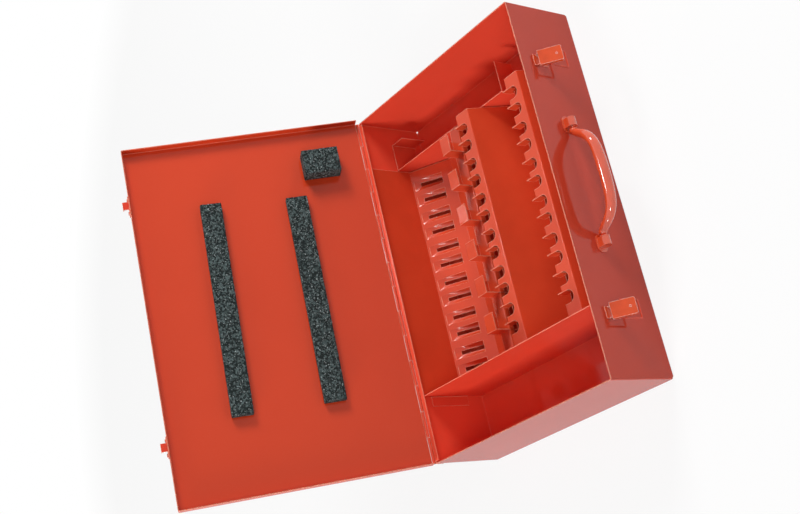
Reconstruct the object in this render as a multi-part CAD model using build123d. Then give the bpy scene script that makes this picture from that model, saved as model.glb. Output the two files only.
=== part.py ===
from build123d import *
import math
import os

# Folded sheet-steel tool case, lying on its back with the lid standing open.
# Millimetres. While the pieces are built, X runs along the hinge from the left end,
# Y runs from the front wall to the hinge wall, Z runs up from the underside.
# Each piece is moved to the centre of the underside when it is saved.

# Case shell
SHEET = 1.0
CASE_LENGTH = 420.0
CASE_WIDTH = 277.2
CASE_DEPTH = 90.7
BEND_OUTSIDE = 1.8
RIM_FLANGE = 5.5
RIM_FLANGE_SETBACK = 3.0
CORNER_RELIEF_RADIUS = 1.4
CORNER_RELIEF_DEPTH = 2.4

# Lid
LID_ANGLE = 118.0
LID_SIDE_GAP = 0.4
LID_TOP_GAP = 0.3
LID_LIP_DEPTH = 9.6
HINGE_CUT_BACK = 0.8

# Hinge
KNUCKLE_RADIUS = 1.7
HINGE_PIN_RADIUS = 0.8
PIN_FIT = 0.05
HINGE_OFFSET = 1.25
KNUCKLE_COUNT = 14
KNUCKLE_END_GAP = 0.35
LEAF_THICKNESS = 0.9
LEAF_WIDTH = 11.0

# Bin at the left end
PARTITION_X = 76.0
PARTITION_BELOW_RIM = 1.3
PARTITION_FLANGE = 11.0
PARTITION_FLANGE_LOW = 24.0
PARTITION_FLANGE_HIGH = 77.0

# Tool rack
RACK_BEND = 1.0
RACK_FLANGE_TOP = 87.0
SLOPE_TOP = 30.0
SLOPE_FOOT_Y = 231.0
RACK_WALL_Y = 173.5
RACK_WALL_TOP = 47.0
STATION_COUNT = 6
RACK_START_MARGIN = 21.5
RACK_END_MARGIN = 13.0
EDGE_SPACING = 20.0
NOTCH_WIDTH = 13.5
TROUGH_SETBACK = 2.5
TROUGH_LENGTH = 36.0
TROUGH_HEAD_DEPTH = 0.4
TROUGH_FOOT_DEPTH = 5.0
SLIT_WIDTH = 4.4
SLIT_LENGTH = 28.0
HOOD_TOP = 67.0
HOOD_REACH = 15.0
HOOD_FIN_DEPTH = 33.0

# Notched rails of the rack
RAIL_TOP = 65.0
RAIL_STRIP = 20.6
RAIL_PANEL_RUN = 22.5
MIDDLE_RAIL_REAR = 141.0
FRONT_RAIL_REAR = 55.7
NOTCH_DEPTH = 15.0
NOTCH_DROP = 12.0
FIN_BEHIND = 5.5
FIN_LENGTH = 12.0
FIN_DEPTH = 12.0

# Pocket at the right end
POCKET_X = 361.0
POCKET_TOP = 47.0
POCKET_FRONT = 78.0
POCKET_HINGE_REACH = 35.0
POCKET_RETURN = 21.0
POCKET_RETURN_LOW = 12.0
POCKET_FRONT_REACH = 38.0
POCKET_FRONT_LOW = 21.0

# Foam pads on the lid: length and width, middle along X and from the hinge wall, turn in degrees
FOAM_THICKNESS = 9.0
FAR_STRIP_SIZE = (251.3, 24.7)
FAR_STRIP_MIDDLE = (214.8, 191.3)
FAR_STRIP_TURN = 1.4
NEAR_STRIP_SIZE = (246.9, 25.2)
NEAR_STRIP_MIDDLE = (210.8, 90.7)
NEAR_STRIP_TURN = 0.6
BLOCK_SIZE = (30.5, 43.0)
BLOCK_MIDDLE = (371.5, 53.5)
BLOCK_THICKNESS = 19.0

# Draw latches
LATCH_FROM_END = 68.5
LEVER_AXIS_OUT = 4.2
LEVER_AXIS_Z = 67.7
LEVER_SLOPE = 45.0
LEVER_WIDTH = 17.0
LEVER_LENGTH = 24.3
LEVER_TAIL = 1.2
LEVER_FACE = 2.7
LEVER_FLANGE = 4.4
LEVER_PIN_RADIUS = 0.7
LOOP_PIVOT = 10.0
LOOP_PIVOT_RISE = 0.6
LOOP_LENGTH = 25.5
LOOP_WIRE_RADIUS = 0.9
LOOP_BEND = 1.08
LOOP_SIDE_GAP = 0.4
EAR_THICKNESS = 1.0
EAR_RADIUS = 1.4
EAR_NECK = 1.1
BASE_LOW = 54.0
BASE_HIGH = 73.0
BASE_HALF_WIDTH = 6.2

# Lid catches
CATCH_WIDTH = 23.0
CATCH_BELOW_RIM = 0.5
CATCH_TAB_BELOW_RIM = 7.7
CATCH_TAB_WIDTH = 9.5
CATCH_TAB_REACH = 6.4
CATCH_TAB_RISE = 3.0

# Bow handle
HANDLE_SPACING = 134.0
HANDLE_AXIS_OUT = 6.5
HANDLE_AXIS_Z = 50.5
BOW_OUT = 23.5
BOW_SHAPE = ((-1.0, 0.0), (-0.83, 0.5), (-0.6, 0.86), (-0.3, 0.98))
BOW_SECTIONS = (0.0, 0.12, 0.25, 0.4, 0.5, 0.6, 0.75, 0.88, 1.0)
BOW_SWELL = 0.8
BOW_END_RADIUS = 4.0
BOW_KNOB_RADIUS = 4.4
BOW_MIDDLE_RADIUS = 6.0
BOW_PIVOT_RADIUS = 2.5
BOSS_RADIUS = 5.5
BOSS_LENGTH = 10.0
BOSS_GAP = 0.5
BORE_DEPTH = 6.0
FOOT_LENGTH = 19.0
FOOT_HEIGHT = 13.0
FOOT_THICKNESS = 1.2

# Rivets
RIVET_RADIUS = 1.9
RIVET_HEIGHT = 1.0

# Places that follow from the sizes above
MIDDLE_X = CASE_LENGTH / 2
PARTITION_TOP = CASE_DEPTH - PARTITION_BELOW_RIM
RACK_LEFT = PARTITION_X + SHEET
RACK_END_X = POCKET_X - SHEET
POCKET_HINGE_END_X = POCKET_X + POCKET_HINGE_REACH
POCKET_FRONT_END_X = POCKET_X + POCKET_FRONT_REACH
CATCH_TOP = CASE_DEPTH - CATCH_BELOW_RIM
CATCH_TAB_TOP = CASE_DEPTH - CATCH_TAB_BELOW_RIM
HINGE_Y = CASE_WIDTH + HINGE_OFFSET
HINGE_Z = CASE_DEPTH + HINGE_OFFSET
LID_INSIDE_Z = CASE_DEPTH + LID_TOP_GAP
LIP_OUT = LID_SIDE_GAP + SHEET
INSIDE_HINGE_WALL = CASE_WIDTH - SHEET
BACK_SHEET_Y = INSIDE_HINGE_WALL - SHEET / 2
LATCH_MIDDLES = {"left": LATCH_FROM_END, "right": CASE_LENGTH - LATCH_FROM_END}
HANDLE_MIDDLES = {"left": MIDDLE_X - HANDLE_SPACING / 2, "right": MIDDLE_X + HANDLE_SPACING / 2}
FIRST_EDGE_X = RACK_END_X - RACK_END_MARGIN
LAST_EDGE_X = RACK_LEFT + RACK_START_MARGIN + NOTCH_WIDTH + EDGE_SPACING
STATION_PITCH = (FIRST_EDGE_X - LAST_EDGE_X) / (STATION_COUNT - 1)
PAIR_EDGES = [FIRST_EDGE_X - STATION_PITCH * n for n in range(STATION_COUNT)]
NOTCH_EDGES = [edge - offset for edge in PAIR_EDGES for offset in (0.0, EDGE_SPACING)]


def block(x0, x1, y0, y1, z0, z1):
    """A plain block between two corners."""
    size = Box(x1 - x0, y1 - y0, z1 - z0)
    return Pos((x0 + x1) / 2, (y0 + y1) / 2, (z0 + z1) / 2) * size


def rod_x(x0, x1, y, z, radius):
    """A round bar along X."""
    bar = Rot(0, 90, 0) * Cylinder(radius, x1 - x0)
    return Pos((x0 + x1) / 2, y, z) * bar


def rod_y(x, y0, y1, z, radius):
    """A round bar along Y."""
    bar = Rot(90, 0, 0) * Cylinder(radius, y1 - y0)
    return Pos(x, (y0 + y1) / 2, z) * bar


def folded_strip(points, x0, x1):
    """A sheet folded along the middle line given in Y and Z, between two ends in X."""
    line = FilletPolyline(*points, radius=RACK_BEND)
    section = trace(line, line_width=SHEET)
    return extrude(Plane.YZ.offset(x0) * section, amount=x1 - x0)


def side_plate(points, x0, x1):
    """A flat plate with a YZ outline, between two planes in X."""
    outline = make_face(Polyline(*points, close=True))
    return extrude(Plane.YZ.offset(x0) * outline, amount=x1 - x0)


def open_lid(shape):
    """Swings a lid piece from closed to the open rest position."""
    axis = Axis((0, HINGE_Y, HINGE_Z), (-1, 0, 0))
    return shape.rotate(axis, LID_ANGLE)


def case_tray():
    """The five-sided shell with its rim flange along the hinge wall."""
    outer = block(0, CASE_LENGTH, 0, CASE_WIDTH, 0, CASE_DEPTH)
    soft_edges = outer.edges().filter_by(Axis.Z) + outer.faces().sort_by(Axis.Z)[0].edges()
    outer = fillet(soft_edges, BEND_OUTSIDE)
    inner = block(SHEET, CASE_LENGTH - SHEET, SHEET, CASE_WIDTH - SHEET, SHEET, CASE_DEPTH + SHEET)
    inner_edges = inner.edges().filter_by(Axis.Z) + inner.faces().sort_by(Axis.Z)[0].edges()
    inner = fillet(inner_edges, BEND_OUTSIDE - SHEET)
    tray = outer - inner
    flange_low = CASE_WIDTH - RIM_FLANGE
    tray += block(
        RIM_FLANGE_SETBACK, CASE_LENGTH - RIM_FLANGE_SETBACK,
        flange_low, INSIDE_HINGE_WALL, CASE_DEPTH - SHEET, CASE_DEPTH)
    for x in (SHEET, CASE_LENGTH - SHEET):
        for y in (SHEET, CASE_WIDTH - SHEET):
            hole = Cylinder(CORNER_RELIEF_RADIUS, CORNER_RELIEF_DEPTH)
            tray -= Pos(x, y, CORNER_RELIEF_DEPTH / 2) * hole
    return tray


def upright_sheet(x, front, rear, top):
    """An upright sheet across the case, its lower corners clipped clear of the shell's bends."""
    clip = BEND_OUTSIDE - SHEET
    outline = [
        (front + clip, SHEET), (rear - clip, SHEET), (rear, SHEET + clip), (rear, top), (front, top),
        (front, SHEET + clip)]
    return side_plate(outline, x, x + SHEET)


def bin_partition():
    """The upright sheet that closes off the bin, with its foot on the hinge wall."""
    sheet = upright_sheet(PARTITION_X, SHEET, INSIDE_HINGE_WALL, PARTITION_TOP)
    foot = block(
        PARTITION_X - PARTITION_FLANGE, PARTITION_X, INSIDE_HINGE_WALL - SHEET, INSIDE_HINGE_WALL,
        PARTITION_FLANGE_LOW, PARTITION_FLANGE_HIGH)
    return sheet + foot


def slope_plane(along):
    """Plane across the slope at a distance down it, its Y along the slope's upward normal."""
    run = SLOPE_FOOT_Y - BACK_SHEET_Y
    drop = 1.5 * SHEET - SLOPE_TOP
    length = math.hypot(run, drop)
    origin = (0, BACK_SHEET_Y + run / length * along, SLOPE_TOP + drop / length * along)
    return Plane(origin=origin, x_dir=(1, 0, 0), z_dir=(0, run, drop))


def trough_section(along, depth):
    """Curved cross-section of a trough at a distance down the slope."""
    half = SHEET / 2
    middle = NOTCH_WIDTH / 2
    outline = ThreePointArc((0, half), (middle, half - depth), (NOTCH_WIDTH, half))
    outline += Line((NOTCH_WIDTH, half), (NOTCH_WIDTH, -half))
    outline += ThreePointArc((NOTCH_WIDTH, -half), (middle, -half - depth), (0, -half))
    outline += Line((0, -half), (0, half))
    return slope_plane(along) * make_face(outline)


def slope_trough():
    """A trough pressed down from the slope, deeper and open at its foot, with a slit along it."""
    foot = TROUGH_SETBACK + TROUGH_LENGTH
    sections = [
        trough_section(TROUGH_SETBACK, TROUGH_HEAD_DEPTH),
        trough_section(foot, TROUGH_FOOT_DEPTH)]
    trough = loft(sections, ruled=True)
    slit = Box(SLIT_WIDTH, 3 * TROUGH_FOOT_DEPTH, SLIT_LENGTH)
    slit = Pos(NOTCH_WIDTH / 2, -TROUGH_FOOT_DEPTH, -SLIT_LENGTH / 2) * slit
    return trough - slope_plane(foot) * slit


def trough_mouth():
    """The window in the slope that a trough fills."""
    window = Box(NOTCH_WIDTH, 3 * SHEET, TROUGH_LENGTH)
    window = Pos(NOTCH_WIDTH / 2, 0, TROUGH_LENGTH / 2) * window
    return slope_plane(TROUGH_SETBACK) * window


def rack_slot_plate():
    """The rear sheet of the rack: back flange, slope with troughs, floor strip and hooded wall."""
    floor_mid = 1.5 * SHEET
    path = [
        (BACK_SHEET_Y, RACK_FLANGE_TOP), (BACK_SHEET_Y, SLOPE_TOP), (SLOPE_FOOT_Y, floor_mid),
        (RACK_WALL_Y, floor_mid), (RACK_WALL_Y, RACK_WALL_TOP)]
    plate = folded_strip(path, RACK_LEFT, RACK_END_X)
    mouth = trough_mouth()
    trough = slope_trough()
    for edge in NOTCH_EDGES:
        plate -= Pos(edge - NOTCH_WIDTH, 0, 0) * mouth
    for edge in NOTCH_EDGES:
        plate += Pos(edge - NOTCH_WIDTH, 0, 0) * trough
    for edge in PAIR_EDGES:
        plate += hood(edge)
    return plate


def hood(edge):
    """One hood on the rack wall with the fin that closes its left side."""
    left = edge - EDGE_SPACING
    front = RACK_WALL_Y - HOOD_REACH
    top_mid = HOOD_TOP - SHEET / 2
    path = [(RACK_WALL_Y, RACK_WALL_TOP), (RACK_WALL_Y, top_mid), (front, top_mid)]
    cover = folded_strip(path, left, edge)
    low = HOOD_TOP - HOOD_FIN_DEPTH
    outline = [(RACK_WALL_Y, low), (RACK_WALL_Y, top_mid), (front, top_mid), (front, low)]
    return cover + side_plate(outline, left, left + SHEET)


def rail(rear):
    """One folded rail with its row of round-ended notches and bent-down fins."""
    top_mid = RAIL_TOP - SHEET / 2
    rear_mid = rear - SHEET / 2
    front_mid = rear - RAIL_STRIP
    lean = math.atan2(top_mid - SHEET, RAIL_PANEL_RUN)
    foot_z = SHEET + SHEET / 2 * math.cos(lean)
    path = [
        (rear_mid, SHEET), (rear_mid, top_mid), (front_mid, top_mid),
        (front_mid - RAIL_PANEL_RUN, foot_z)]
    body = folded_strip(path, RACK_LEFT, RACK_END_X)
    radius = NOTCH_WIDTH / 2
    straight = rear - NOTCH_DEPTH + radius
    low = RAIL_TOP - NOTCH_DROP
    for edge in NOTCH_EDGES:
        body -= block(edge - NOTCH_WIDTH, edge, straight, rear + SHEET, low, RAIL_TOP + SHEET)
        round_end = Cylinder(radius, NOTCH_DROP + SHEET)
        body -= Pos(edge - radius, straight, (low + RAIL_TOP + SHEET) / 2) * round_end
    fin_rear = rear + FIN_BEHIND
    for edge in NOTCH_EDGES:
        body += block(edge, edge + SHEET, fin_rear - FIN_LENGTH, fin_rear, RAIL_TOP - FIN_DEPTH, RAIL_TOP)
    return body


def side_pocket():
    """The folded plate that makes a long pocket against the right end wall."""
    rear = INSIDE_HINGE_WALL
    plate = upright_sheet(POCKET_X, POCKET_FRONT, rear, POCKET_TOP)
    plate += block(
        POCKET_X, POCKET_HINGE_END_X, rear - SHEET, rear, POCKET_RETURN_LOW, POCKET_TOP)
    plate += block(
        POCKET_HINGE_END_X - SHEET, POCKET_HINGE_END_X, rear - POCKET_RETURN, rear,
        POCKET_RETURN_LOW, POCKET_TOP)
    plate += block(
        POCKET_X, POCKET_FRONT_END_X, POCKET_FRONT, POCKET_FRONT + SHEET,
        POCKET_FRONT_LOW, POCKET_TOP)
    return plate


def knuckle_spans(first):
    """Where every other tube of the hinge begins and ends, from the tube with this number."""
    pitch = CASE_LENGTH / KNUCKLE_COUNT
    half_gap = KNUCKLE_END_GAP / 2
    return [(n * pitch + half_gap, (n + 1) * pitch - half_gap) for n in range(first, KNUCKLE_COUNT, 2)]


def hinge_case_leaf():
    """The leaf on the outside of the hinge wall, with its tubes."""
    face = CASE_WIDTH + LEAF_THICKNESS
    leaf = block(
        0, CASE_LENGTH, CASE_WIDTH, face, CASE_DEPTH - LEAF_WIDTH, CASE_DEPTH - KNUCKLE_RADIUS)
    for x0, x1 in knuckle_spans(0):
        leaf += block(x0, x1, CASE_WIDTH, face, CASE_DEPTH - 2 * KNUCKLE_RADIUS, HINGE_Z)
        leaf += rod_x(x0, x1, HINGE_Y, HINGE_Z, KNUCKLE_RADIUS)
    return leaf - rod_x(-SHEET, CASE_LENGTH + SHEET, HINGE_Y, HINGE_Z, HINGE_PIN_RADIUS)


def hinge_lid_leaf():
    """The leaf on the outside of the lid, with its tubes, which turn on the pin."""
    low = LID_INSIDE_Z + SHEET
    high = low + LEAF_THICKNESS
    leaf_end = CASE_WIDTH - KNUCKLE_RADIUS
    leaf = block(0, CASE_LENGTH, CASE_WIDTH - LEAF_WIDTH, leaf_end, low, high)
    for x0, x1 in knuckle_spans(1):
        leaf += block(x0, x1, leaf_end - SHEET, HINGE_Y, low, high)
        leaf += rod_x(x0, x1, HINGE_Y, HINGE_Z, KNUCKLE_RADIUS)
    leaf -= rod_x(-SHEET, CASE_LENGTH + SHEET, HINGE_Y, HINGE_Z, HINGE_PIN_RADIUS + PIN_FIT)
    return open_lid(leaf)


def lid_tray():
    """The lid sheet with lips on three sides that close over the rim."""
    top = LID_INSIDE_Z + SHEET
    low = LID_INSIDE_Z - LID_LIP_DEPTH
    rear = CASE_WIDTH - HINGE_CUT_BACK
    outer = block(-LIP_OUT, CASE_LENGTH + LIP_OUT, -LIP_OUT, rear, low, top)
    front_corners = outer.edges().filter_by(Axis.Z).sort_by(Axis.Y)[:2]
    top_edges = outer.faces().sort_by(Axis.Z)[-1].edges().sort_by(Axis.Y)[:3]
    outer = fillet(front_corners + top_edges, BEND_OUTSIDE)
    inner = block(
        -LID_SIDE_GAP, CASE_LENGTH + LID_SIDE_GAP, -LID_SIDE_GAP, CASE_WIDTH,
        low - SHEET, LID_INSIDE_Z)
    inner_corners = inner.edges().filter_by(Axis.Z).sort_by(Axis.Y)[:2]
    inner_top = inner.faces().sort_by(Axis.Z)[-1].edges().sort_by(Axis.Y)[:3]
    inner = fillet(inner_corners + inner_top, BEND_OUTSIDE - SHEET)
    return open_lid(outer - inner)


def foam_pad(size, middle, turn, thickness):
    """One foam pad glued to the inside of the lid."""
    pad = Rot(0, 0, turn) * Box(size[0], size[1], thickness)
    pad = Pos(middle[0], CASE_WIDTH - middle[1], LID_INSIDE_Z - thickness / 2) * pad
    return open_lid(pad)


def lid_catch(middle):
    """The hooked plate on the front lip of the lid."""
    face = -LIP_OUT
    half = CATCH_WIDTH / 2
    tab_low = CATCH_TAB_TOP - SHEET
    plate = block(middle - half, middle + half, face - SHEET, face, tab_low, CATCH_TOP)
    tab_half = CATCH_TAB_WIDTH / 2
    tab_end = face - SHEET - CATCH_TAB_REACH
    tab = block(middle - tab_half, middle + tab_half, tab_end, face - SHEET, tab_low, CATCH_TAB_TOP)
    tab += block(
        middle - tab_half, middle + tab_half, tab_end, tab_end + SHEET,
        tab_low, CATCH_TAB_TOP + CATCH_TAB_RISE)
    return open_lid(plate + tab)


def catch_rivet(middle, side):
    """One of the two rivets that hold a catch to the lid."""
    face = -LIP_OUT - SHEET
    x = middle + side * (CATCH_TAB_WIDTH + CATCH_WIDTH) / 4
    z = (CATCH_TOP + CATCH_TAB_TOP) / 2
    return open_lid(rod_y(x, face - RIVET_HEIGHT, face, z, RIVET_RADIUS))


def latch_base(middle):
    """The riveted base plate of a latch with two ears for the lever pin."""
    plate = block(
        middle - BASE_HALF_WIDTH, middle + BASE_HALF_WIDTH, -SHEET, 0, BASE_LOW, BASE_HIGH)
    axis_y = -LEVER_AXIS_OUT
    for side in (-1, 1):
        ear_out = BASE_HALF_WIDTH * side
        ear_in = (BASE_HALF_WIDTH - EAR_THICKNESS) * side
        x0 = middle + min(ear_out, ear_in)
        x1 = middle + max(ear_out, ear_in)
        plate += block(x0, x1, axis_y, 0, LEVER_AXIS_Z - EAR_NECK, LEVER_AXIS_Z + EAR_NECK)
        plate += rod_x(x0, x1, axis_y, LEVER_AXIS_Z, EAR_RADIUS)
    pin_hole = rod_x(
        middle - LEVER_WIDTH, middle + LEVER_WIDTH, axis_y, LEVER_AXIS_Z, LEVER_PIN_RADIUS)
    return plate - pin_hole


def latch_pin(middle):
    """The cross pin on which the lever turns."""
    half = LEVER_WIDTH / 2
    return rod_x(middle - half, middle + half, -LEVER_AXIS_OUT, LEVER_AXIS_Z, LEVER_PIN_RADIUS)


def tilt_lever(shape):
    """Swings a lever piece from standing straight out to its rest slope."""
    axis = Axis((0, -LEVER_AXIS_OUT, LEVER_AXIS_Z), (1, 0, 0))
    return shape.rotate(axis, LEVER_SLOPE)


def latch_lever(middle):
    """The channel-shaped lever with a turned-down lip at its free end."""
    half = LEVER_WIDTH / 2
    axis_y = -LEVER_AXIS_OUT
    top = LEVER_AXIS_Z + LEVER_FACE
    low = top - LEVER_FLANGE
    tail = axis_y + LEVER_TAIL
    tip = axis_y - LEVER_LENGTH
    lever = block(middle - half, middle + half, tip, tail, low, top)
    lever = fillet(lever.edges().filter_by(Axis.Z).group_by(Axis.Y)[0], BEND_OUTSIDE)
    lever -= block(
        middle - half + SHEET, middle + half - SHEET, tip + SHEET, tail + SHEET,
        low - SHEET, top - SHEET)
    holes = (
        (0.0, 0.0, LEVER_PIN_RADIUS),
        (LOOP_PIVOT, LOOP_PIVOT_RISE, LOOP_WIRE_RADIUS))
    for reach, rise, radius in holes:
        lever -= rod_x(
            middle - LEVER_WIDTH, middle + LEVER_WIDTH, axis_y - reach, LEVER_AXIS_Z + rise,
            radius + PIN_FIT)
    return tilt_lever(lever)


def loop_pivot_place():
    """Y and Z of the loop's pivot while the lever is at its rest slope."""
    slope = math.radians(LEVER_SLOPE)
    y = -LEVER_AXIS_OUT - LOOP_PIVOT * math.cos(slope) - LOOP_PIVOT_RISE * math.sin(slope)
    z = LEVER_AXIS_Z - LOOP_PIVOT * math.sin(slope) + LOOP_PIVOT_RISE * math.cos(slope)
    return y, z


def latch_loop(middle):
    """The wire loop that hangs from the lever."""
    y, z = loop_pivot_place()
    half = LEVER_WIDTH / 2 + LOOP_SIDE_GAP + LOOP_WIRE_RADIUS
    inner = LEVER_WIDTH / 2 - SHEET
    low = z - LOOP_LENGTH
    path = FilletPolyline(
        (middle - inner, y, z), (middle - half, y, z), (middle - half, y, low),
        (middle + half, y, low), (middle + half, y, z), (middle + inner, y, z),
        radius=LOOP_BEND)
    start = Plane(origin=path @ 0, z_dir=path % 0)
    return sweep(start * Circle(LOOP_WIRE_RADIUS), path=path)


def handle_bow():
    """The carrying bow: a thick round bar that thins towards its two pivots."""
    span = HANDLE_SPACING / 2 - BOSS_LENGTH / 2 - BOSS_GAP - BOW_KNOB_RADIUS
    shape = list(BOW_SHAPE) + [(0.0, 1.0)] + [(-x, out) for x, out in reversed(BOW_SHAPE)]
    places = [
        (MIDDLE_X + x * span, -HANDLE_AXIS_OUT - out * BOW_OUT, HANDLE_AXIS_Z) for x, out in shape]
    path = Spline(*places)
    sections = []
    for share in BOW_SECTIONS:
        thick = math.sin(math.pi * share) ** BOW_SWELL
        radius = BOW_END_RADIUS + (BOW_MIDDLE_RADIUS - BOW_END_RADIUS) * thick
        sections.append(Plane(origin=path @ share, z_dir=path % share) * Circle(radius))
    bow = loft(sections)
    for side in (-1, 1):
        end_x = MIDDLE_X + side * span
        bow += Pos(end_x, -HANDLE_AXIS_OUT, HANDLE_AXIS_Z) * Sphere(BOW_KNOB_RADIUS)
        stub = MIDDLE_X + side * (HANDLE_SPACING / 2 - BOSS_LENGTH / 2 + BORE_DEPTH - BOSS_GAP)
        bow += rod_x(
            min(end_x, stub), max(end_x, stub), -HANDLE_AXIS_OUT, HANDLE_AXIS_Z, BOW_PIVOT_RADIUS)
    return bow


def handle_bracket(middle):
    """A bracket riveted to the front wall, with a rounded boss bored for the bow."""
    foot = block(
        middle - FOOT_LENGTH / 2, middle + FOOT_LENGTH / 2, -FOOT_THICKNESS, 0,
        HANDLE_AXIS_Z - FOOT_HEIGHT / 2, HANDLE_AXIS_Z + FOOT_HEIGHT / 2)
    foot = fillet(foot.edges().filter_by(Axis.Y), FOOT_HEIGHT / 2 - SHEET)
    x0 = middle - BOSS_LENGTH / 2
    x1 = middle + BOSS_LENGTH / 2
    boss = rod_x(x0, x1, -HANDLE_AXIS_OUT, HANDLE_AXIS_Z, BOSS_RADIUS)
    boss += block(
        x0, x1, -HANDLE_AXIS_OUT, -FOOT_THICKNESS / 2,
        HANDLE_AXIS_Z - BOSS_RADIUS, HANDLE_AXIS_Z + BOSS_RADIUS)
    inward = 1 if middle < MIDDLE_X else -1
    mouth = middle + inward * BOSS_LENGTH / 2
    deep = mouth - inward * BORE_DEPTH
    bore = rod_x(
        min(mouth, deep), max(mouth, deep), -HANDLE_AXIS_OUT, HANDLE_AXIS_Z,
        BOW_PIVOT_RADIUS + PIN_FIT)
    return foot + boss - bore


def save(name, shape):
    """Moves a piece to the centre of the underside and writes it."""
    placed = Pos(-CASE_LENGTH / 2, -CASE_WIDTH / 2, 0) * shape
    placed.label = name
    export_step(placed, f"parts/{name}.step")


os.makedirs("parts", exist_ok=True)
save("case_tray", case_tray())
save("bin_partition", bin_partition())
save("rack_slot_plate", rack_slot_plate())
save("rack_middle_rail", rail(MIDDLE_RAIL_REAR))
save("rack_front_rail", rail(FRONT_RAIL_REAR))
save("side_pocket", side_pocket())
save("hinge_case_leaf", hinge_case_leaf())
save("hinge_lid_leaf", hinge_lid_leaf())
save("hinge_pin", rod_x(0, CASE_LENGTH, HINGE_Y, HINGE_Z, HINGE_PIN_RADIUS))
save("lid_tray", lid_tray())
save("foam_strip_far", foam_pad(FAR_STRIP_SIZE, FAR_STRIP_MIDDLE, FAR_STRIP_TURN, FOAM_THICKNESS))
save("foam_strip_near", foam_pad(NEAR_STRIP_SIZE, NEAR_STRIP_MIDDLE, NEAR_STRIP_TURN, FOAM_THICKNESS))
save("foam_block", foam_pad(BLOCK_SIZE, BLOCK_MIDDLE, 0.0, BLOCK_THICKNESS))
save("handle_bow", handle_bow())
for hand, middle in HANDLE_MIDDLES.items():
    save(f"handle_bracket_{hand}", handle_bracket(middle))
for hand, middle in LATCH_MIDDLES.items():
    save(f"lid_catch_{hand}", lid_catch(middle))
    save(f"catch_rivet_{hand}_1", catch_rivet(middle, -1))
    save(f"catch_rivet_{hand}_2", catch_rivet(middle, 1))
    save(f"latch_base_{hand}", latch_base(middle))
    save(f"latch_pin_{hand}", latch_pin(middle))
    save(f"latch_lever_{hand}", latch_lever(middle))
    save(f"latch_loop_{hand}", latch_loop(middle))
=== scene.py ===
import math

import bmesh
import bpy
from mathutils import Matrix, Vector, noise


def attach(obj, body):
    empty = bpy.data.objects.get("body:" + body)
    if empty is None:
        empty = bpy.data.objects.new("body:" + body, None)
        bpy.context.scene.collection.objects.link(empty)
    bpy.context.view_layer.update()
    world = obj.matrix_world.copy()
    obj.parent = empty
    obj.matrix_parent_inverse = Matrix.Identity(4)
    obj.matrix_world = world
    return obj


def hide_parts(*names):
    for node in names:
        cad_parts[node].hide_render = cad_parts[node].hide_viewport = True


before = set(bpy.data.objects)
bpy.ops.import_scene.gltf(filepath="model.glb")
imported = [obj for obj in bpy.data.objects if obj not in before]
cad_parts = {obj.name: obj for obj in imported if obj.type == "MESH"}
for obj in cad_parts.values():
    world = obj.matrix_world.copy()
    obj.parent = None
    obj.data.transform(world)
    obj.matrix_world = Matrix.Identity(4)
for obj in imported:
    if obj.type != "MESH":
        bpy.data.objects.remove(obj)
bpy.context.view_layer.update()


# --- Case shell -----------------------------------------------------------
# The shell is one sheet of mild steel about 1 mm thick, folded up on four sides and
# welded at the corners, with small round reliefs at the bends. It is sprayed with a
# glossy red enamel. A painted highlight lightens it along the edges, and its inside is
# painted lighter and more orange than its outside, as painted light and shade.

# Colour of the painted highlight that lightens the enamel along every edge and fold.
PAINTED_EDGE_HIGHLIGHT = (1.0, 0.64, 0.44)
PEEL_DEPTH = 0.00002
PEEL_STRENGTH = 0.35
WELD_GAP = 0.00001
BEND_STEPS = 3
FOLD_ANGLE = math.radians(32)


def add_socket(group, name, kind, into, value=None):
    """Adds one named socket to a node group."""
    socket = group.interface.new_socket(
        name=name, in_out="INPUT" if into else "OUTPUT", socket_type=kind)
    if value is not None:
        socket.default_value = value


def link(tree, source, target):
    """Joins two sockets of a node tree."""
    tree.links.new(source, target)


def node_at(tree, kind, column, row):
    """Adds a node and sets it out on the page."""
    made = tree.nodes.new(kind)
    made.location = (column * 220, -row * 220)
    return made


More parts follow.
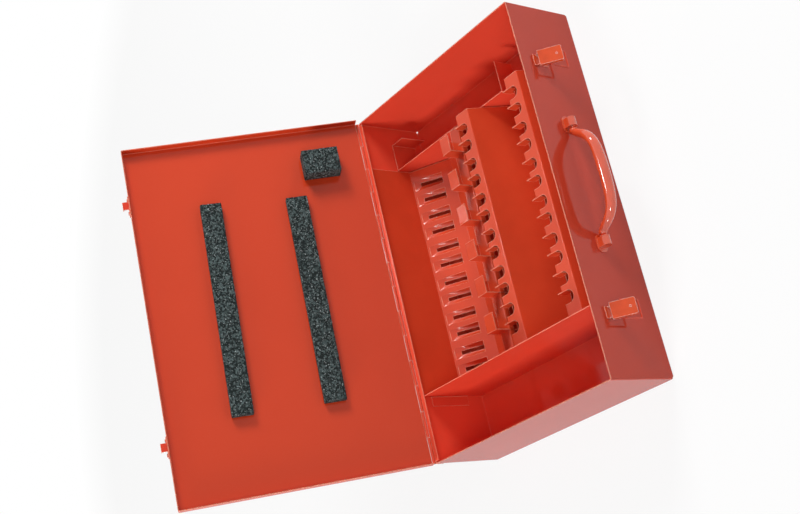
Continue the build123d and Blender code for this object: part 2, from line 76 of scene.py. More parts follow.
def sprayed_enamel_group():
    """Sprayed enamel: slow drift of shade, a painted highlight on edges, orange peel and dust.
    """
    group = bpy.data.node_groups.new("sprayed_enamel", "ShaderNodeTree")
    add_socket(group, "Deep Shade", "NodeSocketColor", True, (0.5, 0.02, 0.01, 1))
    add_socket(group, "Light Shade", "NodeSocketColor", True, (0.6, 0.03, 0.01, 1))
    add_socket(group, "Painted Edge Highlight", "NodeSocketColor", True, (*PAINTED_EDGE_HIGHLIGHT, 1))
    add_socket(group, "Edge Width", "NodeSocketFloat", True, 0.0007)
    add_socket(group, "Edge Strength", "NodeSocketFloat", True, 1.0)
    add_socket(group, "Gloss Low", "NodeSocketFloat", True, 0.2)
    add_socket(group, "Gloss High", "NodeSocketFloat", True, 0.3)
    add_socket(group, "Drift Scale", "NodeSocketFloat", True, 9.0)
    add_socket(group, "Peel Scale", "NodeSocketFloat", True, 900.0)
    add_socket(group, "Color", "NodeSocketColor", False)
    add_socket(group, "Roughness", "NodeSocketFloat", False)
    add_socket(group, "Height", "NodeSocketFloat", False)
    inside = node_at(group, "NodeGroupInput", 0, 0)
    outside = node_at(group, "NodeGroupOutput", 6, 0)
    where = node_at(group, "ShaderNodeTexCoord", 0, 2)

    drift = node_at(group, "ShaderNodeTexNoise", 2, 0)
    drift.inputs["Detail"].default_value = 4.0
    drift.inputs["Roughness"].default_value = 0.55
    link(group, where.outputs["Object"], drift.inputs["Vector"])
    link(group, inside.outputs["Drift Scale"], drift.inputs["Scale"])
    spread = node_at(group, "ShaderNodeMapRange", 3, 0)
    spread.inputs["From Min"].default_value = 0.35
    spread.inputs["From Max"].default_value = 0.65
    link(group, drift.outputs["Fac"], spread.inputs["Value"])
    shade = node_at(group, "ShaderNodeMix", 4, 0)
    shade.data_type = "RGBA"
    link(group, spread.outputs["Result"], shade.inputs["Factor"])
    link(group, inside.outputs["Deep Shade"], shade.inputs["A"])
    link(group, inside.outputs["Light Shade"], shade.inputs["B"])

    dust = node_at(group, "ShaderNodeTexNoise", 2, 1)
    dust.inputs["Scale"].default_value = 2400.0
    dust.inputs["Detail"].default_value = 1.0
    link(group, where.outputs["Object"], dust.inputs["Vector"])
    specks = node_at(group, "ShaderNodeMapRange", 3, 1)
    specks.inputs["From Min"].default_value = 0.68
    specks.inputs["From Max"].default_value = 0.76
    specks.inputs["To Max"].default_value = 0.10
    link(group, dust.outputs["Fac"], specks.inputs["Value"])
    dusty = node_at(group, "ShaderNodeMix", 5, 0)
    dusty.data_type = "RGBA"
    dusty.inputs["B"].default_value = (0.75, 0.42, 0.34, 1)
    link(group, specks.outputs["Result"], dusty.inputs["Factor"])
    link(group, shade.outputs["Result"], dusty.inputs["A"])

    # Painted highlight: faces close to an edge or fold are mixed towards a pale colour,
    # standing in for the light the edges catch.
    rounded = node_at(group, "ShaderNodeBevel", 1, 3)
    rounded.samples = 4
    link(group, inside.outputs["Edge Width"], rounded.inputs["Radius"])
    face = node_at(group, "ShaderNodeNewGeometry", 1, 4)
    likeness = node_at(group, "ShaderNodeVectorMath", 2, 3)
    likeness.operation = "DOT_PRODUCT"
    link(group, rounded.outputs["Normal"], likeness.inputs[0])
    link(group, face.outputs["True Normal"], likeness.inputs[1])
    highlight_mask = node_at(group, "ShaderNodeMapRange", 3, 3)
    highlight_mask.inputs["From Min"].default_value = 0.99
    highlight_mask.inputs["From Max"].default_value = 0.86
    link(group, likeness.outputs["Value"], highlight_mask.inputs["Value"])
    link(group, inside.outputs["Edge Strength"], highlight_mask.inputs["To Max"])
    highlighted = node_at(group, "ShaderNodeMix", 5, 2)
    highlighted.data_type = "RGBA"
    link(group, highlight_mask.outputs["Result"], highlighted.inputs["Factor"])
    link(group, dusty.outputs["Result"], highlighted.inputs["A"])
    link(group, inside.outputs["Painted Edge Highlight"], highlighted.inputs["B"])
    link(group, highlighted.outputs["Result"], outside.inputs["Color"])

    gloss = node_at(group, "ShaderNodeMapRange", 4, 1)
    link(group, drift.outputs["Fac"], gloss.inputs["Value"])
    link(group, inside.outputs["Gloss Low"], gloss.inputs["To Min"])
    link(group, inside.outputs["Gloss High"], gloss.inputs["To Max"])
    link(group, gloss.outputs["Result"], outside.inputs["Roughness"])

    peel = node_at(group, "ShaderNodeTexNoise", 2, 2)
    peel.inputs["Detail"].default_value = 2.0
    link(group, where.outputs["Object"], peel.inputs["Vector"])
    link(group, inside.outputs["Peel Scale"], peel.inputs["Scale"])
    link(group, peel.outputs["Fac"], outside.inputs["Height"])
    return group


sprayed_enamel = sprayed_enamel_group()


def material_from(name, group, depth, strength):
    """A material that takes its colour, roughness and relief from a node group."""
    made = bpy.data.materials.new(name)
    made.use_nodes = True
    tree = made.node_tree
    skin = tree.nodes["Principled BSDF"]
    finish = node_at(tree, "ShaderNodeGroup", -3, 0)
    finish.node_tree = group
    relief = node_at(tree, "ShaderNodeBump", -1.5, 1)
    relief.inputs["Distance"].default_value = depth
    relief.inputs["Strength"].default_value = strength
    link(tree, finish.outputs["Color"], skin.inputs["Base Color"])
    link(tree, finish.outputs["Roughness"], skin.inputs["Roughness"])
    link(tree, finish.outputs["Height"], relief.inputs["Height"])
    link(tree, relief.outputs["Normal"], skin.inputs["Normal"])
    return made, finish, skin


def enamel(name, deep, light, gloss=(0.06, 0.10), drift=9.0, edge=1.0,
           edge_highlight=PAINTED_EDGE_HIGHLIGHT, shine=0.35):
    """A red enamel with its own shades, gloss, slow drift of shade and a painted highlight on
    its edges.
    """
    made, coat, skin = material_from(name, sprayed_enamel, PEEL_DEPTH, PEEL_STRENGTH)
    coat.inputs["Deep Shade"].default_value = (*deep, 1)
    coat.inputs["Light Shade"].default_value = (*light, 1)
    coat.inputs["Painted Edge Highlight"].default_value = (*edge_highlight, 1)
    coat.inputs["Edge Strength"].default_value = edge
    coat.inputs["Gloss Low"].default_value = gloss[0]
    coat.inputs["Gloss High"].default_value = gloss[1]
    coat.inputs["Drift Scale"].default_value = drift
    skin.inputs["IOR"].default_value = 1.5
    skin.inputs["Specular IOR Level"].default_value = shine
    skin.inputs["Metallic"].default_value = 0.0
    return made


def finish_piece(name, material, bend=0.0):
    """Puts a finish on a piece of the frame and rounds its sheared and folded edges."""
    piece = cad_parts[name]
    piece.data.materials.clear()
    piece.data.materials.append(material)
    if bend:
        weld = piece.modifiers.new("weld", "WELD")
        weld.merge_threshold = WELD_GAP
        round_off = piece.modifiers.new("round_off", "BEVEL")
        round_off.width = bend
        round_off.segments = BEND_STEPS
        round_off.limit_method = "ANGLE"
        round_off.angle_limit = FOLD_ANGLE
        round_off.use_clamp_overlap = True
        shading = piece.modifiers.new("shading", "WEIGHTED_NORMAL")
        shading.keep_sharp = False


def inside_of_tray_group():
    """A mask that is 1 on the inner faces of a tray and 0 on its outer faces."""
    group = bpy.data.node_groups.new("inside_of_tray", "ShaderNodeTree")
    add_socket(group, "Half Length", "NodeSocketFloat", True, 0.2095)
    add_socket(group, "Half Width", "NodeSocketFloat", True, 0.1381)
    add_socket(group, "Floor", "NodeSocketFloat", True, 0.0005)
    add_socket(group, "Mask", "NodeSocketFloat", False)
    inside = node_at(group, "NodeGroupInput", 0, 0)
    outside = node_at(group, "NodeGroupOutput", 6, 0)
    where = node_at(group, "ShaderNodeTexCoord", 0, 1)
    split = node_at(group, "ShaderNodeSeparateXYZ", 1, 1)
    link(group, where.outputs["Object"], split.inputs["Vector"])
    above = node_at(group, "ShaderNodeMath", 3, 2)
    above.operation = "GREATER_THAN"
    link(group, split.outputs["Z"], above.inputs[0])
    link(group, inside.outputs["Floor"], above.inputs[1])
    mask = above.outputs["Value"]
    for row, (axis, limit) in enumerate((("X", "Half Length"), ("Y", "Half Width"))):
        size = node_at(group, "ShaderNodeMath", 2, row)
        size.operation = "ABSOLUTE"
        link(group, split.outputs[axis], size.inputs[0])
        within = node_at(group, "ShaderNodeMath", 3, row)
        within.operation = "LESS_THAN"
        link(group, size.outputs["Value"], within.inputs[0])
        link(group, inside.outputs[limit], within.inputs[1])
        both = node_at(group, "ShaderNodeMath", 4 + row, row)
        both.operation = "MULTIPLY"
        link(group, mask, both.inputs[0])
        link(group, within.outputs["Value"], both.inputs[1])
        mask = both.outputs["Value"]
    link(group, mask, outside.inputs["Mask"])
    return group


def paint_inside_lighter(material, deep, light):
    """Gives the inner faces of the tray a lighter, more orange copy of the same enamel:
    painted light for the brighter light inside the case.
    """
    tree = material.node_tree
    skin = tree.nodes["Principled BSDF"]
    outer = skin.inputs["Base Color"].links[0].from_node
    inner = node_at(tree, "ShaderNodeGroup", -3, 2)
    inner.node_tree = sprayed_enamel
    for socket in outer.inputs:
        inner.inputs[socket.name].default_value = socket.default_value
    inner.inputs["Deep Shade"].default_value = (*deep, 1)
    inner.inputs["Light Shade"].default_value = (*light, 1)
    mask = node_at(tree, "ShaderNodeGroup", -3, 1)
    mask.node_tree = inside_of_tray_group()
    blend = node_at(tree, "ShaderNodeMix", -1.5, 0)
    blend.data_type = "RGBA"
    link(tree, mask.outputs["Mask"], blend.inputs["Factor"])
    link(tree, outer.outputs["Color"], blend.inputs["A"])
    link(tree, inner.outputs["Color"], blend.inputs["B"])
    link(tree, blend.outputs["Result"], skin.inputs["Base Color"])


# Outer faces get the darker copy of the red, as painted shade for the dimmer light outside;
# inner faces get the lighter copy.
shell_enamel = enamel(
    "shell_enamel", (0.46, 0.040, 0.018), (0.52, 0.047, 0.022),
    gloss=(0.05, 0.09), drift=5.0)
paint_inside_lighter(shell_enamel, (0.80, 0.080, 0.040), (0.84, 0.090, 0.046))
finish_piece("case_tray", shell_enamel, bend=0.0003)


# --- Bin partition --------------------------------------------------------
# One upright sheet closes off the bin at the left end. Its foot is bent against the
# hinge wall and spot welded, and it is sprayed together with the shell.

# Its shades are the lighter inside copy of the shell's red, painted lighter for the brighter
# light inside the case.
partition_enamel = enamel(
    "partition_enamel", (0.76, 0.074, 0.036), (0.82, 0.084, 0.042),
    gloss=(0.08, 0.12), drift=7.0)
finish_piece("bin_partition", partition_enamel, bend=0.00025)


# --- Tool rack ------------------------------------------------------------
# Three folded sheets stand across the case: a slotted slope with hoods on its wall, and
# two notched rails with small fins. The hoods stand on a ledge bent from the same sheet.

# Its red is set darker than the tray's inside, as painted shade against the light on its upper
# faces, and its edges get an orange painted highlight.
rack_enamel = enamel(
    "rack_enamel", (0.62, 0.062, 0.022), (0.70, 0.074, 0.026),
    gloss=(0.12, 0.18), drift=12.0, edge_highlight=(1.0, 0.56, 0.38))
for rack_piece in ("rack_slot_plate", "rack_middle_rail", "rack_front_rail"):
    finish_piece(rack_piece, rack_enamel, bend=0.00025)

RACK_X = (-0.1330, 0.1500)
LEDGE_FRONT = 0.0199
LEDGE_BACK = 0.0344
LEDGE_TOP = 0.0480
LEDGE_LIP = 0.0070
SHEET_THICKNESS = 0.0010
LEDGE_BEND = 0.0016
LEDGE_BEND_STEPS = 6


def own_piece(name, shape, material):
    """Makes a smooth piece of its own out of a finished mesh."""
    bmesh.ops.recalc_face_normals(shape, faces=shape.faces)
    mesh = bpy.data.meshes.new(name)
    shape.to_mesh(mesh)
    shape.free()
    mesh.materials.append(material)
    mesh.shade_smooth()
    piece = bpy.data.objects.new(name, mesh)
    bpy.context.scene.collection.objects.link(piece)
    return piece


def bent_ledge_outline():
    """The ledge in section, from the rack's wall forward and down over its bend."""
    outer = [(LEDGE_BACK, LEDGE_TOP)]
    inner = [(LEDGE_BACK, LEDGE_TOP - SHEET_THICKNESS)]
    middle = (LEDGE_FRONT + LEDGE_BEND, LEDGE_TOP - LEDGE_BEND)
    for step in range(LEDGE_BEND_STEPS + 1):
        turn = math.radians(90 + 90 * step / LEDGE_BEND_STEPS)
        for side, radius in ((outer, LEDGE_BEND), (inner, LEDGE_BEND - SHEET_THICKNESS)):
            side.append((
                middle[0] + radius * math.cos(turn),
                middle[1] + radius * math.sin(turn)))
    outer.append((LEDGE_FRONT, LEDGE_TOP - LEDGE_LIP))
    inner.append((LEDGE_FRONT + SHEET_THICKNESS, LEDGE_TOP - LEDGE_LIP))
    return outer + inner[::-1]


def bent_ledge():
    """The ledge under the hoods, as long as the rack."""
    shape = bmesh.new()
    ends = [[shape.verts.new((x, y, z)) for y, z in bent_ledge_outline()] for x in RACK_X]
    count = len(ends[0])
    for n in range(count):
        after = (n + 1) % count
        shape.faces.new((ends[0][n], ends[0][after], ends[1][after], ends[1][n]))
    for n in range(count // 2 - 1):
        low, high = count - 1 - n, count - 2 - n
        for end in ends:
            shape.faces.new((end[n], end[n + 1], end[high], end[low]))
    ledge = own_piece("rack_ledge", shape, rack_enamel)
    ledge.data.set_sharp_from_angle(angle=FOLD_ANGLE)
    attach(ledge, "case")


bent_ledge()


# --- Side pocket ----------------------------------------------------------
# A low folded plate makes a long pocket along the right end wall. It is spot welded to
# the hinge wall at one end and turned towards the end wall at the other.

# Its shades are the lighter inside copy of the shell's red, painted lighter for the brighter
# light inside the case.
pocket_enamel = enamel(
    "pocket_enamel", (0.74, 0.074, 0.036), (0.80, 0.084, 0.042),
    gloss=(0.10, 0.16), drift=8.0)
finish_piece("side_pocket", pocket_enamel, bend=0.00025)


# --- Piano hinge ----------------------------------------------------------
# A full-length hinge of rolled steel with a wire pin. One leaf is riveted behind the
# hinge wall and the other on the lid, and all of it is painted over with the case.

hinge_enamel = enamel(
    "hinge_enamel", (0.66, 0.060, 0.024), (0.76, 0.072, 0.030),
    gloss=(0.08, 0.14), drift=40.0)
for hinge_piece in ("hinge_case_leaf", "hinge_lid_leaf"):
    finish_piece(hinge_piece, hinge_enamel, bend=0.0002)


def wire_steel_group():
    """Drawn steel wire: fine scratches along its length and a few dull patches."""
    group = bpy.data.node_groups.new("drawn_wire", "ShaderNodeTree")
    add_socket(group, "Clean Shade", "NodeSocketColor", True, (0.55, 0.54, 0.52, 1))
    add_socket(group, "Dull Shade", "NodeSocketColor", True, (0.30, 0.28, 0.26, 1))
    add_socket(group, "Color", "NodeSocketColor", False)
    add_socket(group, "Roughness", "NodeSocketFloat", False)
    add_socket(group, "Height", "NodeSocketFloat", False)
    inside = node_at(group, "NodeGroupInput", 0, 0)
    outside = node_at(group, "NodeGroupOutput", 5, 0)
    where = node_at(group, "ShaderNodeTexCoord", 0, 1)
    stretch = node_at(group, "ShaderNodeMapping", 1, 1)
    stretch.inputs["Scale"].default_value = (40.0, 2500.0, 2500.0)
    link(group, where.outputs["Object"], stretch.inputs["Vector"])
    lines = node_at(group, "ShaderNodeTexNoise", 2, 1)
    lines.inputs["Scale"].default_value = 1.0
    lines.inputs["Detail"].default_value = 3.0
    link(group, stretch.outputs["Vector"], lines.inputs["Vector"])
    patches = node_at(group, "ShaderNodeTexNoise", 2, 0)
    patches.inputs["Scale"].default_value = 60.0
    link(group, where.outputs["Object"], patches.inputs["Vector"])
    shade = node_at(group, "ShaderNodeMix", 3, 0)
    shade.data_type = "RGBA"
    link(group, patches.outputs["Fac"], shade.inputs["Factor"])
    link(group, inside.outputs["Clean Shade"], shade.inputs["A"])
    link(group, inside.outputs["Dull Shade"], shade.inputs["B"])
    link(group, shade.outputs["Result"], outside.inputs["Color"])
    dull = node_at(group, "ShaderNodeMapRange", 3, 1)
    dull.inputs["To Min"].default_value = 0.28
    dull.inputs["To Max"].default_value = 0.48
    link(group, lines.outputs["Fac"], dull.inputs["Value"])
    link(group, dull.outputs["Result"], outside.inputs["Roughness"])
    link(group, lines.outputs["Fac"], outside.inputs["Height"])
    return group


pin_steel, pin_wire, pin_skin = material_from(
    "pin_steel", wire_steel_group(), depth=0.00002, strength=1.0)
pin_wire.inputs["Clean Shade"].default_value = (0.52, 0.50, 0.48, 1)
pin_wire.inputs["Dull Shade"].default_value = (0.34, 0.20, 0.16, 1)
pin_skin.inputs["Metallic"].default_value = 1.0
finish_piece("hinge_pin", pin_steel)


# --- Lid ------------------------------------------------------------------
# The lid is a second folded tray with a low lip on three sides that closes over the rim.
# It leans back on the hinge, and its inside is the smoothest, evenest red of the case.

# Its red is set darker than the tray's inside, as painted shade against the strong light on
# the lid's inside.
lid_enamel = enamel(
    "lid_enamel", (0.60, 0.049, 0.013), (0.64, 0.055, 0.016),
    gloss=(0.08, 0.12), drift=3.0, shine=0.25)
finish_piece("lid_tray", lid_enamel, bend=0.0003)


# --- Lid catches ----------------------------------------------------------
# Two small hooked plates are held on the front lip by a rivet at each side of the hook.
# The loops of the latches pull on them when the case is shut.

catch_enamel = enamel(
    "catch_enamel", (0.66, 0.034, 0.008), (0.76, 0.046, 0.010),
    gloss=(0.06, 0.12), drift=60.0)
for hand in ("left", "right"):
    finish_piece(f"lid_catch_{hand}", catch_enamel, bend=0.0002)
    for number in (1, 2):
        finish_piece(f"catch_rivet_{hand}_{number}", catch_enamel, bend=0.0004)


# --- Foam pads ------------------------------------------------------------
# Two strips and one block of charcoal open-cell foam are glued inside the lid to hold the
# tools down. They are cut from sheet, so the faces are rough with open cells.

HINGE_LINE = Vector((0.0, 0.13985, 0.09195))
LID_OPEN = math.radians(118.0)
LID_INSIDE = 0.09100
CASE_HALF_WIDTH = 0.1386
CASE_HALF_LENGTH = 0.210
CELLS_PER_METRE = 520.0
FOAM_GRID = 0.0016
FOAM_CORNER = 0.0009
LUMPS_PER_METRE = 520.0
PITS_PER_METRE = 1150.0
PIT_SHARE = 0.6
PIT_DEPTH = 0.00042
CUT_BACK = 0.00012


def open_cell_group():
    """Open-cell foam: dark cells, pale broken walls between them, soft mottling and pale
    painted glints.
    """
    group = bpy.data.node_groups.new("open_cell_foam", "ShaderNodeTree")
    add_socket(group, "Cell Shade", "NodeSocketColor", True, (0.004, 0.008, 0.008, 1))
    add_socket(group, "Wall Shade", "NodeSocketColor", True, (0.085, 0.120, 0.120, 1))
    add_socket(group, "Glint Shade", "NodeSocketColor", True, (0.60, 0.68, 0.68, 1))
    add_socket(group, "Cell Scale", "NodeSocketFloat", True, CELLS_PER_METRE)
    add_socket(group, "Color", "NodeSocketColor", False)
    add_socket(group, "Roughness", "NodeSocketFloat", False)
    add_socket(group, "Height", "NodeSocketFloat", False)
    inside = node_at(group, "NodeGroupInput", 0, 0)
    outside = node_at(group, "NodeGroupOutput", 6, 0)
    where = node_at(group, "ShaderNodeTexCoord", 0, 2)
    cells = node_at(group, "ShaderNodeTexVoronoi", 2, 0)
    link(group, where.outputs["Object"], cells.inputs["Vector"])
    link(group, inside.outputs["Cell Scale"], cells.inputs["Scale"])
    tones = node_at(group, "ShaderNodeSeparateColor", 3, 2)
    link(group, cells.outputs["Color"], tones.inputs["Color"])
    walls = node_at(group, "ShaderNodeMapRange", 3, 0)
    walls.inputs["From Min"].default_value = 0.45
    walls.inputs["From Max"].default_value = 1.0
    link(group, tones.outputs["Red"], walls.inputs["Value"])
    mottle = node_at(group, "ShaderNodeTexNoise", 2, 1)
    mottle.inputs["Scale"].default_value = 620.0
    mottle.inputs["Detail"].default_value = 3.0
    mottle.inputs["Roughness"].default_value = 0.7
    link(group, where.outputs["Object"], mottle.inputs["Vector"])
    shade = node_at(group, "ShaderNodeMix", 4, 0)
    shade.data_type = "RGBA"
    link(group, walls.outputs["Result"], shade.inputs["Factor"])
    link(group, inside.outputs["Cell Shade"], shade.inputs["A"])
    link(group, inside.outputs["Wall Shade"], shade.inputs["B"])
    # Painted glints: pale specks where the mottling is high, standing in for light caught by
    # the foam.
    glints = node_at(group, "ShaderNodeMapRange", 3, 1)
    glints.inputs["From Min"].default_value = 0.60
    glints.inputs["From Max"].default_value = 0.70
    link(group, mottle.outputs["Fac"], glints.inputs["Value"])
    lit = node_at(group, "ShaderNodeMix", 5, 0)
    lit.data_type = "RGBA"
    link(group, glints.outputs["Result"], lit.inputs["Factor"])
    link(group, shade.outputs["Result"], lit.inputs["A"])
    link(group, inside.outputs["Glint Shade"], lit.inputs["B"])
    link(group, lit.outputs["Result"], outside.inputs["Color"])
    rough = node_at(group, "ShaderNodeMapRange", 4, 1)
    rough.inputs["To Min"].default_value = 0.75
    rough.inputs["To Max"].default_value = 0.95
    link(group, mottle.outputs["Fac"], rough.inputs["Value"])
    link(group, rough.outputs["Result"], outside.inputs["Roughness"])
    link(group, walls.outputs["Result"], outside.inputs["Height"])
    return group


charcoal_foam, _, foam_skin = material_from(
    "charcoal_foam", open_cell_group(), depth=0.0006, strength=0.8)
foam_skin.inputs["Specular IOR Level"].default_value = 0.3


def lid_place(along, from_hinge, turn):
    """Matrix that puts a pad lying in the closed lid where it is with the lid open."""
    swing = (Matrix.Translation(HINGE_LINE) @ Matrix.Rotation(-LID_OPEN, 4, "X")
             @ Matrix.Translation(-HINGE_LINE))
    flat = Vector((along - CASE_HALF_LENGTH, CASE_HALF_WIDTH - from_hinge, LID_INSIDE))
    return swing @ Matrix.Translation(flat) @ Matrix.Rotation(math.radians(turn), 4, "Z")


def foam_pad(name, length, width, thick, along, from_hinge, turn):
    """A pad cut from foam sheet, flat where it is glued and rough on its other faces."""
    counts = [round(size / FOAM_GRID) for size in (length, width, thick)]
    half = Vector((length / 2, width / 2, thick / 2))
    shape = bmesh.new()
    places = {}

    def point(i, j, k):
        """The vertex at one step of the pad's grid, made the first time it is asked for."""
        key = (i, j, k)
        if key not in places:
            share = [step / count * 2 - 1 for step, count in zip(key, counts)]
            raw = Vector(s * h for s, h in zip(share, half))
            core = Vector(
                max(FOAM_CORNER - h, min(h - FOAM_CORNER, r)) for r, h in zip(raw, half))
            outward = raw - core
            if outward.length > 0:
                raw = core + outward.normalized() * FOAM_CORNER
            glued = k == counts[2]
            if not glued:
                wobble = noise.noise(raw * LUMPS_PER_METRE)
                wobble += PIT_SHARE * noise.noise(raw * PITS_PER_METRE)
                inward = min(0.0, wobble * PIT_DEPTH - CUT_BACK)
                direction = outward if outward.length > 0 else Vector((0, 0, -1))
                raw = raw + direction.normalized() * inward
            places[key] = shape.verts.new(raw)
        return places[key]

    for axis in range(3):
        a, b = [n for n in range(3) if n != axis]
        for end in (0, counts[axis]):
            for i in range(counts[a]):
                for j in range(counts[b]):
                    corners = []
                    for di, dj in ((0, 0), (1, 0), (1, 1), (0, 1)):
                        key = [0, 0, 0]
                        key[axis] = end
                        key[a] = i + di
                        key[b] = j + dj
                        corners.append(point(*key))
                    shape.faces.new(corners)
    bmesh.ops.translate(shape, verts=shape.verts, vec=(0, 0, -thick / 2))
    pad = own_piece(name, shape, charcoal_foam)
    pad.data.transform(lid_place(along, from_hinge, turn))
    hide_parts(name)
    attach(pad, "lid")


# Each pad's name, length, width and thickness, its place along and from the hinge, and its
# turn in degrees.
FOAM_PADS = (
    ("foam_strip_far", 0.2513, 0.0247, 0.009, 0.2148, 0.1913, 1.4),
    ("foam_strip_near", 0.2469, 0.0252, 0.009, 0.2108, 0.0907, 0.6),
    ("foam_block", 0.0305, 0.0430, 0.019, 0.3715, 0.0535, 0.0),
)
for pad_sizes in FOAM_PADS:
    foam_pad(*pad_sizes)


# --- Draw latches ---------------------------------------------------------
# Each latch is a riveted base with two ears, a cross pin, a stamped channel lever with a
# rivet head near its free end, and a wire loop that hangs from it. All of it is painted.

# The cream edge colour is a painted highlight on the lever's bends and edges.
latch_enamel = enamel(
    "latch_enamel", (0.66, 0.066, 0.012), (0.76, 0.080, 0.016),
    gloss=(0.05, 0.10), drift=70.0, edge_highlight=(1.0, 0.84, 0.74))
loop_enamel = enamel(
    "loop_enamel", (0.56, 0.030, 0.010), (0.66, 0.040, 0.012),
    gloss=(0.06, 0.12), drift=80.0)
for hand in ("left", "right"):
    finish_piece(f"latch_base_{hand}", latch_enamel, bend=0.0002)
    finish_piece(f"latch_pin_{hand}", latch_enamel, bend=0.0002)
    finish_piece(f"latch_lever_{hand}", latch_enamel, bend=0.0006)
    finish_piece(f"latch_loop_{hand}", loop_enamel)

LEVER_AXIS = Vector((0.1415, -0.1428, 0.0677))
LEVER_DOWN = Vector((0.0, -1.0, -1.0)).normalized()
LEVER_OUT = Vector((0.0, -1.0, 1.0)).normalized()
LEVER_FACE = 0.0027
RIVET_REACH = 0.0183
RIVET_RADIUS = 0.0013
RIVET_HEIGHT = 0.0005
RIVET_SINK = 0.0001
RIVET_RINGS = 5
RIVET_SIDES = 20


def rivet_head(hand, side):
    """The small domed rivet head near the free end of a lever."""
    base = Vector((LEVER_AXIS.x * side, LEVER_AXIS.y, LEVER_AXIS.z))
    base += LEVER_DOWN * RIVET_REACH + LEVER_OUT * (LEVER_FACE - RIVET_SINK)
    across = Vector((1, 0, 0))
    along = LEVER_OUT.cross(across)
    shape = bmesh.new()
    rings = []
    for step in range(RIVET_RINGS):
        rise = math.radians(90 * step / RIVET_RINGS)
        centre = base + LEVER_OUT * RIVET_HEIGHT * math.sin(rise)
        radius = RIVET_RADIUS * math.cos(rise)
        ring = []
        for n in range(RIVET_SIDES):
            turn = math.tau * n / RIVET_SIDES
            spoke = across * math.cos(turn) + along * math.sin(turn)
            ring.append(shape.verts.new(centre + spoke * radius))
        rings.append(ring)
    for lower, upper in zip(rings, rings[1:]):
        for n in range(RIVET_SIDES):
            after = (n + 1) % RIVET_SIDES
            shape.faces.new((lower[n], lower[after], upper[after], upper[n]))
    shape.faces.new(rings[-1])
    shape.faces.new(rings[0][::-1])
    head = own_piece(f"lever_rivet_{hand}", shape, latch_enamel)
    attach(head, f"lever_{hand}")


rivet_head("left", -1)
rivet_head("right", 1)


# --- Carrying handle ------------------------------------------------------
# A thick steel bow swings in two bored brackets riveted to the front wall. The paint on
# it is the glossiest of the case, and has small bright streaks along the bow.

# A faint painted highlight lightens the handle's edges.
handle_enamel = enamel(
    "handle_enamel", (0.64, 0.066, 0.016), (0.74, 0.080, 0.022),
    gloss=(0.05, 0.09), drift=30.0, edge=0.2, shine=0.5)
handle_skin = handle_enamel.node_tree.nodes["Principled BSDF"]
handle_skin.inputs["Coat Weight"].default_value = 1.0
handle_skin.inputs["Coat Roughness"].default_value = 0.04
finish_piece("handle_bow", handle_enamel)
for hand in ("left", "right"):
    finish_piece(f"handle_bracket_{hand}", handle_enamel, bend=0.0004)


# --- Floor ----------------------------------------------------------------
# The case lies on a plain white sheet, which shows nothing but the soft shadow of the
# case. In the paint it is seen as a white room.

FLOOR_HALF = 6.0
EYE_SHARE = 0.85
GLOSS_SHARE = 0.45
SHADOW_REACH = 0.4
WHITE_REACH = 1.2


def light_path_share(tree, eye, gloss):
    """A value for what the eye sees, another for what shows in gloss, and 0 for soft light."""
    path = node_at(tree, "ShaderNodeLightPath", -5, 0)
    clear = node_at(tree, "ShaderNodeMath", -4, 1)
    clear.operation = "MAXIMUM"
    link(tree, path.outputs["Is Glossy Ray"], clear.inputs[0])
    link(tree, path.outputs["Is Transmission Ray"], clear.inputs[1])
    shares = []
    for row, (mask, share) in enumerate(
            ((path.outputs["Is Camera Ray"], eye), (clear.outputs["Value"], gloss))):
        scaled = node_at(tree, "ShaderNodeMath", -3, row)
        scaled.operation = "MULTIPLY"
        scaled.inputs[1].default_value = share
        link(tree, mask, scaled.inputs[0])
        shares.append(scaled.outputs["Value"])
    larger = node_at(tree, "ShaderNodeMath", -2, 0)
    larger.operation = "MAXIMUM"
    link(tree, shares[0], larger.inputs[0])
    link(tree, shares[1], larger.inputs[1])
    return larger.outputs["Value"]


floor_mesh = bpy.data.meshes.new("floor")
floor_mesh.from_pydata(
    [(x * FLOOR_HALF, y * FLOOR_HALF, 0) for x, y in ((-1, -1), (1, -1), (1, 1), (-1, 1))],
    [], [(0, 1, 2, 3)])
floor = bpy.data.objects.new("floor", floor_mesh)
bpy.context.scene.collection.objects.link(floor)
floor_finish = bpy.data.materials.new("floor_finish")
floor_finish.use_nodes = True
floor_tree = floor_finish.node_tree
floor_skin = floor_tree.nodes["Principled BSDF"]
floor_skin.inputs["Base Color"].default_value = (0.85, 0.85, 0.85, 1)
floor_skin.inputs["Roughness"].default_value = 0.9
floor_skin.inputs["Specular IOR Level"].default_value = 0.0
floor_glow = node_at(floor_tree, "ShaderNodeEmission", 0, 2)
floor_glow.inputs["Strength"].default_value = 1.0
floor_mix = node_at(floor_tree, "ShaderNodeMixShader", 2, 0)
floor_place = node_at(floor_tree, "ShaderNodeTexCoord", -3, 3)
floor_reach = node_at(floor_tree, "ShaderNodeVectorMath", -2, 3)
floor_reach.operation = "LENGTH"
link(floor_tree, floor_place.outputs["Object"], floor_reach.inputs[0])
floor_far = node_at(floor_tree, "ShaderNodeMapRange", -1, 3)
floor_far.inputs["From Min"].default_value = SHADOW_REACH
floor_far.inputs["From Max"].default_value = WHITE_REACH
link(floor_tree, floor_reach.outputs["Value"], floor_far.inputs["Value"])
floor_share = node_at(floor_tree, "ShaderNodeMath", 0, 3)
floor_share.operation = "MAXIMUM"
link(floor_tree, light_path_share(floor_tree, EYE_SHARE, GLOSS_SHARE), floor_share.inputs[0])
link(floor_tree, floor_far.outputs["Result"], floor_share.inputs[1])
link(floor_tree, floor_share.outputs["Value"], floor_mix.inputs["Fac"])
link(floor_tree, floor_skin.outputs["BSDF"], floor_mix.inputs[1])
link(floor_tree, floor_glow.outputs["Emission"], floor_mix.inputs[2])
floor_out = floor_tree.nodes["Material Output"]
link(floor_tree, floor_mix.outputs["Shader"], floor_out.inputs["Surface"])
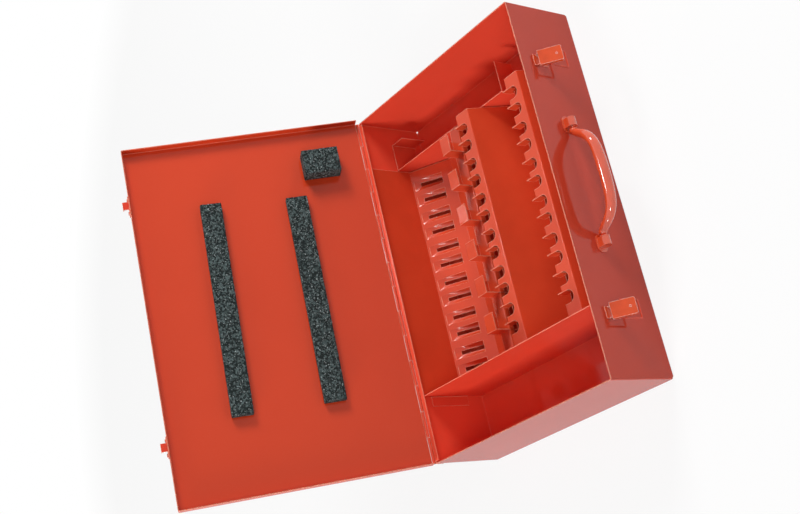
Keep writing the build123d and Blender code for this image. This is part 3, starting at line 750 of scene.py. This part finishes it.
floor_mesh.materials.append(floor_finish)


# --- Light ----------------------------------------------------------------
# A white room with broad soft lamps round the front of the case, which don't show in the
# paint. The small streak lamps do, and draw the bright streaks on the handle and glints on
# edges; the pale lines along the sheet edges are mostly the painted highlight in the enamel.

ROOM_SOFT = 0.1
ROOM_WHITE = 1.0

room = bpy.context.scene.world or bpy.data.worlds.new("room")
bpy.context.scene.world = room
room.use_nodes = True
room_tree = room.node_tree
room_tree.nodes.clear()
room_out = node_at(room_tree, "ShaderNodeOutputWorld", 4, 0)
room_soft = node_at(room_tree, "ShaderNodeBackground", 2, 0)
room_soft.inputs["Color"].default_value = (1, 1, 1, 1)
room_soft.inputs["Strength"].default_value = ROOM_SOFT
room_seen = node_at(room_tree, "ShaderNodeBackground", 2, 1)
room_seen.inputs["Color"].default_value = (1, 1, 1, 1)
room_seen.inputs["Strength"].default_value = ROOM_WHITE
room_mix = node_at(room_tree, "ShaderNodeMixShader", 3, 0)
link(room_tree, light_path_share(room_tree, 1.0, 1.0), room_mix.inputs["Fac"])
link(room_tree, room_soft.outputs["Background"], room_mix.inputs[1])
link(room_tree, room_seen.outputs["Background"], room_mix.inputs[2])
link(room_tree, room_mix.outputs["Shader"], room_out.inputs["Surface"])

LAMP_DISTANCE = 2.2
LAMP_AIM = Vector((0, 0, 0.08))


def lamp(name, towards, size, power, streak):
    """A square soft lamp. A streak lamp shows only in the gloss, the others never do."""
    data = bpy.data.lights.new(name, "AREA")
    data.size = size
    data.energy = power
    made = bpy.data.objects.new(name, data)
    bpy.context.scene.collection.objects.link(made)
    direction = Vector(towards).normalized()
    made.location = LAMP_AIM + direction * LAMP_DISTANCE
    made.rotation_mode = "QUATERNION"
    made.rotation_quaternion = direction.to_track_quat("Z", "Y")
    made.visible_glossy = streak
    made.visible_diffuse = not streak


# Each lamp's name, the way to it from the case, its size in metres and its power in watts.
BROAD_LAMPS = (
    ("left_lamp", (-0.80, 0.20, 0.54), 0.6, 27),
    ("right_lamp", (0.80, -0.26, 0.54), 0.8, 38),
    ("front_lamp", (-0.42, -0.70, 0.58), 0.8, 12),
    ("high_lamp", (0.10, -0.35, 0.93), 0.6, 1.5),
)
STREAK_LAMPS = (
    ("streak_lamp_high", (0.339, 0.232, 0.912), 0.3, 8),
    ("streak_lamp_back", (-0.615, 0.712, 0.339), 0.3, 1.5),
    ("streak_lamp_front", (-0.38, -0.57, 0.72), 0.3, 13),
    ("streak_lamp_left", (-0.66, -0.20, 0.73), 0.24, 8),
    ("streak_lamp_right", (0.68, -0.18, 0.71), 0.2, 6),
)
for lamps, streak in ((BROAD_LAMPS, False), (STREAK_LAMPS, True)):
    for lamp_values in lamps:
        lamp(*lamp_values, streak)


# --- Camera ---------------------------------------------------------------
# A long lens looks down on the open case from beyond its bin end and latch wall, turned
# so that the lid's hinge runs steeply across the picture.

view = bpy.data.cameras.new("photo_view")
view.sensor_width = 36.0
view.lens = 60.11
view.clip_start = 0.05
view.clip_end = 50.0
camera = bpy.data.objects.new("photo_view", view)
bpy.context.scene.collection.objects.link(camera)
camera.location = (-0.48868, -0.96764, 1.02910)
camera.rotation_euler = [math.radians(turn) for turn in (4.1387, 51.9341, -110.1884)]
bpy.context.scene.camera = camera
bpy.context.scene.view_settings.view_transform = "Standard"
